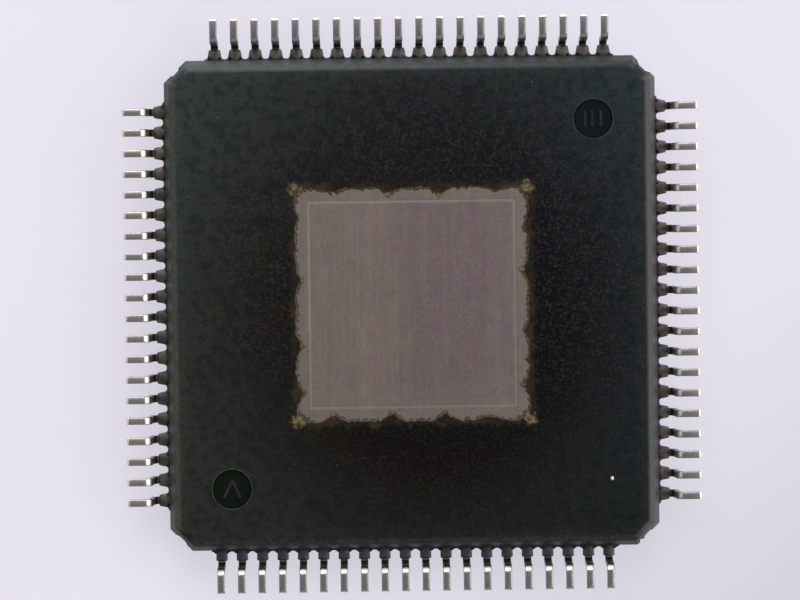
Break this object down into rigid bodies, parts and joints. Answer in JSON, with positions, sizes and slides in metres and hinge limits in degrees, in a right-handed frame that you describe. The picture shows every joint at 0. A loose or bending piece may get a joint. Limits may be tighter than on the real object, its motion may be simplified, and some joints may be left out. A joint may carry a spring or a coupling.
{
  "type": "quad flat pack chip",
  "caption": "Square moulded chip package with gull-wing leads on all four sides and an exposed metal die pad, lying on its marking face.",
  "frame": {"origin": "middle of the marking face, at the parting outline's centre", "axes": "+Z out of the exposed-pad face, +X towards leads 1 to 20, +Y towards leads 61 to 80"},
  "size_m": [0.014, 0.014, 0.0015],
  "materials": {
    "moulding_compound": "matt black epoxy with a fine spark-eroded grain",
    "pad_metal": "satin tin plate with faint rolling lines",
    "lead_metal": "satin tin plate on copper alloy",
    "die_adhesive": "silver-filled adhesive, cured",
    "silicon": "polished silicon",
    "wire_gold": "bright drawn gold"
  },
  "bodies": {
    "root": {"package_body": "moulding_compound", "die_pad": "pad_metal", "die_attach": "die_adhesive", "silicon_die": "silicon", "leads_01_05": "lead_metal", "leads_06_10": "lead_metal", "leads_11_15": "lead_metal", "leads_16_20": "lead_metal", "leads_21_25": "lead_metal", "leads_26_30": "lead_metal", "leads_31_35": "lead_metal", "leads_36_40": "lead_metal", "leads_41_45": "lead_metal", "leads_46_50": "lead_metal", "leads_51_55": "lead_metal", "leads_56_60": "lead_metal", "leads_61_65": "lead_metal", "leads_66_70": "lead_metal", "leads_71_75": "lead_metal", "leads_76_80": "lead_metal", "bond_wires_01_05": "wire_gold", "bond_wires_06_10": "wire_gold", "bond_wires_11_15": "wire_gold", "bond_wires_16_20": "wire_gold", "bond_wires_21_25": "wire_gold", "bond_wires_26_30": "wire_gold", "bond_wires_31_35": "wire_gold", "bond_wires_36_40": "wire_gold", "bond_wires_41_45": "wire_gold", "bond_wires_46_50": "wire_gold", "bond_wires_51_55": "wire_gold", "bond_wires_56_60": "wire_gold", "bond_wires_61_65": "wire_gold", "bond_wires_66_70": "wire_gold", "bond_wires_71_75": "wire_gold", "bond_wires_76_80": "wire_gold"}
  },
  "joints": []
}
